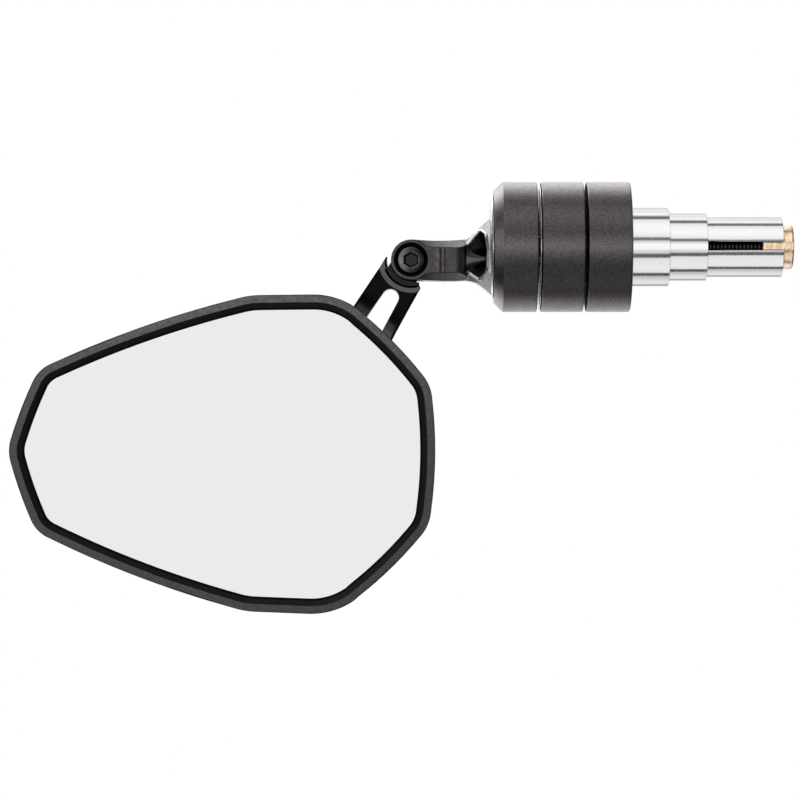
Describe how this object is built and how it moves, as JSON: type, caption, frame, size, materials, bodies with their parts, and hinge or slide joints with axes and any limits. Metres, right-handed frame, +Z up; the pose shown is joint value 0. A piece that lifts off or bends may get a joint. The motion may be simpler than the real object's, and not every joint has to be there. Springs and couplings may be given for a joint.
{
  "type": "bar end mirror",
  "caption": "Bar-end mirror: an expanding plug and ringed weight carry a swinging link arm, a forked neck and a ball-jointed angular mirror head.",
  "frame": {"origin": "on the handlebar's axis, at the weight's face that rests against the bar's end", "axes": "+X along the bar's axis, into the handlebar; +Z up; +Y forwards, away from the rider, who sees the glass"},
  "size_m": [0.2076, 0.0346, 0.1144],
  "materials": {
    "black_anodised": "fine-blasted black anodised aluminium, satin",
    "polished_black": "polished black anodised aluminium, glossy",
    "turned_aluminium": "bright turned aluminium",
    "brass": "plain machined brass",
    "blackened_steel": "black oxide steel, satin",
    "black_plastic": "moulded black plastic, satin",
    "black_rubber": "black rubber, dull",
    "white_nylon": "natural white nylon",
    "silvered_glass": "silvered convex mirror glass"
  },
  "bodies": {
    "bar_end": {"ring_outer": "black_anodised", "ring_middle": "black_anodised", "ring_inner": "black_anodised", "seam_washer": "turned_aluminium", "link_grub_screw_upper": "blackened_steel", "link_grub_screw_lower": "blackened_steel", "bolt_washer": "blackened_steel", "expansion_sleeve": "turned_aluminium"},
    "clamp": {"clamp_bolt": "blackened_steel"},
    "expander": {"expander_cone": "brass"},
    "link": {"link_arm": "black_anodised", "pivot_screw": "blackened_steel", "pivot_nut": "blackened_steel", "pivot_washer_front": "white_nylon", "pivot_washer_rear": "white_nylon"},
    "neck": {"neck_fork": "polished_black", "pivot_bush": "brass", "ball_stud": "blackened_steel", "stud_washer": "blackened_steel", "stud_nut": "blackened_steel"},
    "rear_cup": {"ball_cup_rear": "white_nylon"},
    "front_cup": {"ball_cup_front": "white_nylon"},
    "head": {"head_shell": "black_anodised", "mirror_glass": "silvered_glass", "glass_seal": "black_rubber", "glass_bezel": "black_plastic", "glass_pad": "black_rubber", "glass_carrier": "black_plastic", "socket_cap": "black_anodised", "socket_screw_1": "blackened_steel", "socket_screw_2": "blackened_steel", "socket_screw_3": "blackened_steel"}
  },
  "joints": [
    {"name": "clamp_turn", "type": "hinge", "parent": "bar_end", "child": "clamp", "pos_m": [0, 0, 0], "axis": [1, 0, 0], "range_deg": [0, 890]},
    {"name": "cone_pull", "type": "slide", "parent": "bar_end", "child": "expander", "axis": [-1, 0, 0], "range_m": [0, 0.0025]},
    {"name": "arm_swing", "type": "hinge", "parent": "bar_end", "child": "link", "pos_m": [-0.0363, 0, 0], "axis": [1, 0, 0], "continuous": true},
    {"name": "neck_pivot", "type": "hinge", "parent": "link", "child": "neck", "pos_m": [-0.0583, 0, -0.0036], "axis": [0, 1, 0], "range_deg": [-3, 110]},
    {"name": "head_roll", "type": "hinge", "parent": "neck", "child": "rear_cup", "pos_m": [-0.09017, -0.0026, -0.05561], "axis": [0, 1, 0], "range_deg": [-20, 20]},
    {"name": "head_tilt", "type": "hinge", "parent": "rear_cup", "child": "front_cup", "pos_m": [-0.09017, -0.0026, -0.05561], "axis": [1, 0, 0], "range_deg": [-8, 8]},
    {"name": "head_pan", "type": "hinge", "parent": "front_cup", "child": "head", "pos_m": [-0.09017, -0.0026, -0.05561], "axis": [0, 0, 1], "range_deg": [-8, 8]}
  ],
  "couplings": [
    {"joint": "cone_pull", "follows": "clamp_turn", "m_per_rad": 0.00015915}
  ]
}
